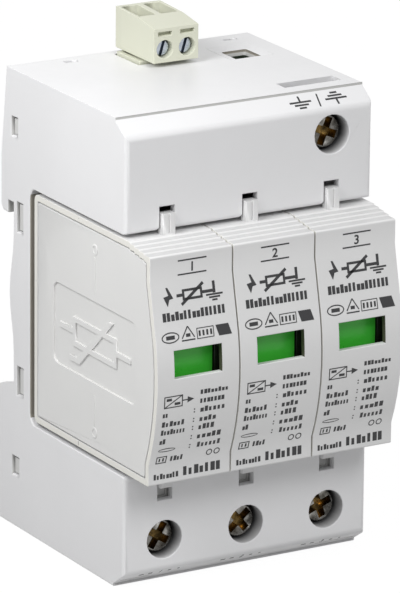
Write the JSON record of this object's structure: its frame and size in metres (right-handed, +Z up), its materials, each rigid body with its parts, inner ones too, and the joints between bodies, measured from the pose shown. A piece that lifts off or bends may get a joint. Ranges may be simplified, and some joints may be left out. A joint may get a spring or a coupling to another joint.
{
  "type": "din rail surge arrester",
  "caption": "Rail-mounted surge arrester: a grey base with screw terminals, plug-in varistor modules with green status windows and a small signal plug on top.",
  "frame": {"origin": "middle of the base's lower end face, at the centre of the whole width and of the whole depth", "axes": "+X to the right along the rail seen from the front, +Y from the front towards the rail, +Z up"},
  "size_m": [0.0524, 0.06, 0.0989],
  "materials": {
    "housing_grey": "light grey moulded housing with a fine satin surface",
    "frame_grey": "light grey moulded plastic, a little darker inside",
    "module_grey": "light grey satin plastic",
    "flag_green": "green status flag, red below",
    "connector_cream": "pale cream-green moulded plastic",
    "screw_steel": "steel with a yellowish passivated coat",
    "zinc_steel": "bright zinc-plated steel",
    "copper_strip": "stamped copper alloy strip",
    "varistor_blue": "epoxy-coated ceramic disc",
    "switch_black": "black switch housing"
  },
  "bodies": {
    "base": {"base_cover": "housing_grey", "back_frame": "frame_grey", "earth_busbar": "copper_strip", "line_contact_1": "copper_strip", "line_contact_2": "copper_strip", "line_contact_3": "copper_strip", "signal_header": "connector_cream", "signal_pin_1": "zinc_steel", "signal_pin_2": "zinc_steel", "signal_switch": "switch_black", "foot_spring": "zinc_steel"},
    "rail_foot": {"rail_foot": "frame_grey"},
    "signal_plug": {"signal_plug": "connector_cream", "signal_tongue_1": "copper_strip", "signal_tongue_2": "copper_strip"},
    "signal_slider": {"signal_slider": "connector_cream"},
    "switch_button": {"switch_button": "connector_cream"},
    "module_1": {"module_1_shell": "module_grey", "module_1_side_plate": "module_grey", "module_1_varistor": "varistor_blue", "module_1_lower_blade": "copper_strip", "module_1_upper_blade": "copper_strip"},
    "disconnect_arm_1": {"module_1_disconnect_arm": "copper_strip"},
    "status_flag_1": {"module_1_status_flag": "flag_green"},
    "module_2": {"module_2_shell": "module_grey", "module_2_side_plate": "module_grey", "module_2_varistor": "varistor_blue", "module_2_lower_blade": "copper_strip", "module_2_upper_blade": "copper_strip"},
    "disconnect_arm_2": {"module_2_disconnect_arm": "copper_strip"},
    "status_flag_2": {"module_2_status_flag": "flag_green"},
    "module_3": {"module_3_shell": "module_grey", "module_3_side_plate": "module_grey", "module_3_varistor": "varistor_blue", "module_3_lower_blade": "copper_strip", "module_3_upper_blade": "copper_strip"},
    "disconnect_arm_3": {"module_3_disconnect_arm": "copper_strip"},
    "status_flag_3": {"module_3_status_flag": "flag_green"},
    "terminal_screw_1": {"terminal_screw_1": "screw_steel"},
    "clamp_cage_1": {"clamp_cage_1": "zinc_steel"},
    "terminal_screw_2": {"terminal_screw_2": "screw_steel"},
    "clamp_cage_2": {"clamp_cage_2": "zinc_steel"},
    "terminal_screw_3": {"terminal_screw_3": "screw_steel"},
    "clamp_cage_3": {"clamp_cage_3": "zinc_steel"},
    "terminal_screw_earth": {"terminal_screw_earth": "screw_steel"},
    "clamp_cage_earth": {"clamp_cage_earth": "zinc_steel"},
    "signal_screw_1": {"signal_screw_1": "zinc_steel"},
    "signal_clamp_1": {"signal_clamp_1": "zinc_steel"},
    "signal_screw_2": {"signal_screw_2": "zinc_steel"},
    "signal_clamp_2": {"signal_clamp_2": "zinc_steel"}
  },
  "joints": [
    {"name": "rail_foot_slide", "type": "slide", "parent": "base", "child": "rail_foot", "axis": [0, 0, -1], "range_m": [0, 0.0026], "stiffness_N_per_m": 1500, "springref_m": -0.002, "deforming": ["foot_spring"]},
    {"name": "signal_plug_pull", "type": "slide", "parent": "base", "child": "signal_plug", "axis": [0, 0, 1], "range_m": [0, 0.012]},
    {"name": "signal_slider_lift", "type": "slide", "parent": "base", "child": "signal_slider", "axis": [0, 0, 1], "range_m": [0, 0.0015]},
    {"name": "switch_button_press", "type": "slide", "parent": "base", "child": "switch_button", "axis": [0, 0, 1], "range_m": [0, 0.0015]},
    {"name": "module_1_pull", "type": "slide", "parent": "base", "child": "module_1", "axis": [0, -1, 0], "range_m": [0, 0.045]},
    {"name": "arm_1_swing", "type": "hinge", "parent": "module_1", "child": "disconnect_arm_1", "pos_m": [-0.0175, 0.009, 0.0626], "axis": [-1, 0, 0], "range_deg": [0, 50]},
    {"name": "flag_1_lift", "type": "slide", "parent": "module_1", "child": "status_flag_1", "axis": [0, 0, 1], "range_m": [0, 0.0068]},
    {"name": "module_2_pull", "type": "slide", "parent": "base", "child": "module_2", "axis": [0, -1, 0], "range_m": [0, 0.045]},
    {"name": "arm_2_swing", "type": "hinge", "parent": "module_2", "child": "disconnect_arm_2", "pos_m": [0, 0.009, 0.0626], "axis": [-1, 0, 0], "range_deg": [0, 50]},
    {"name": "flag_2_lift", "type": "slide", "parent": "module_2", "child": "status_flag_2", "axis": [0, 0, 1], "range_m": [0, 0.0068]},
    {"name": "module_3_pull", "type": "slide", "parent": "base", "child": "module_3", "axis": [0, -1, 0], "range_m": [0, 0.045]},
    {"name": "arm_3_swing", "type": "hinge", "parent": "module_3", "child": "disconnect_arm_3", "pos_m": [0.0175, 0.009, 0.0626], "axis": [-1, 0, 0], "range_deg": [0, 50]},
    {"name": "flag_3_lift", "type": "slide", "parent": "module_3", "child": "status_flag_3", "axis": [0, 0, 1], "range_m": [0, 0.0068]},
    {"name": "terminal_screw_1_turn", "type": "hinge", "parent": "base", "child": "terminal_screw_1", "pos_m": [-0.0175, -0.0154, 0.0089], "axis": [0, 1, 0], "range_deg": [0, 2700]},
    {"name": "clamp_cage_1_slide", "type": "slide", "parent": "base", "child": "clamp_cage_1", "axis": [0, -1, 0], "range_m": [0, 0.006]},
    {"name": "terminal_screw_2_turn", "type": "hinge", "parent": "base", "child": "terminal_screw_2", "pos_m": [0, -0.0154, 0.0089], "axis": [0, 1, 0], "range_deg": [0, 2700]},
    {"name": "clamp_cage_2_slide", "type": "slide", "parent": "base", "child": "clamp_cage_2", "axis": [0, -1, 0], "range_m": [0, 0.006]},
    {"name": "terminal_screw_3_turn", "type": "hinge", "parent": "base", "child": "terminal_screw_3", "pos_m": [0.0175, -0.0154, 0.0089], "axis": [0, 1, 0], "range_deg": [0, 2700]},
    {"name": "clamp_cage_3_slide", "type": "slide", "parent": "base", "child": "clamp_cage_3", "axis": [0, -1, 0], "range_m": [0, 0.006]},
    {"name": "terminal_screw_earth_turn", "type": "hinge", "parent": "base", "child": "terminal_screw_earth", "pos_m": [0.0175, -0.0154, 0.082], "axis": [0, 1, 0], "range_deg": [0, 2700]},
    {"name": "clamp_cage_earth_slide", "type": "slide", "parent": "base", "child": "clamp_cage_earth", "axis": [0, -1, 0], "range_m": [0, 0.006]},
    {"name": "signal_screw_1_turn", "type": "hinge", "parent": "signal_plug", "child": "signal_screw_1", "pos_m": [-0.00085, 0.0131, 0.0935], "axis": [0, 1, 0], "range_deg": [0, 1620]},
    {"name": "signal_clamp_1_slide", "type": "slide", "parent": "signal_plug", "child": "signal_clamp_1", "axis": [0, -1, 0], "range_m": [0, 0.00225]},
    {"name": "signal_screw_2_turn", "type": "hinge", "parent": "signal_plug", "child": "signal_screw_2", "pos_m": [0.00395, 0.0131, 0.0935], "axis": [0, 1, 0], "range_deg": [0, 1620]},
    {"name": "signal_clamp_2_slide", "type": "slide", "parent": "signal_plug", "child": "signal_clamp_2", "axis": [0, -1, 0], "range_m": [0, 0.00225]}
  ],
  "couplings": [
    {"joint": "switch_button_press", "follows": "signal_slider_lift", "ratio": 1},
    {"joint": "arm_1_swing", "follows": "flag_1_lift", "rad_per_m": 128.33},
    {"joint": "arm_2_swing", "follows": "flag_2_lift", "rad_per_m": 128.33},
    {"joint": "arm_3_swing", "follows": "flag_3_lift", "rad_per_m": 128.33},
    {"joint": "terminal_screw_1_turn", "follows": "clamp_cage_1_slide", "rad_per_m": 7854},
    {"joint": "terminal_screw_2_turn", "follows": "clamp_cage_2_slide", "rad_per_m": 7854},
    {"joint": "terminal_screw_3_turn", "follows": "clamp_cage_3_slide", "rad_per_m": 7854},
    {"joint": "terminal_screw_earth_turn", "follows": "clamp_cage_earth_slide", "rad_per_m": 7854},
    {"joint": "signal_screw_1_turn", "follows": "signal_clamp_1_slide", "rad_per_m": 12566},
    {"joint": "signal_screw_2_turn", "follows": "signal_clamp_2_slide", "rad_per_m": 12566}
  ]
}
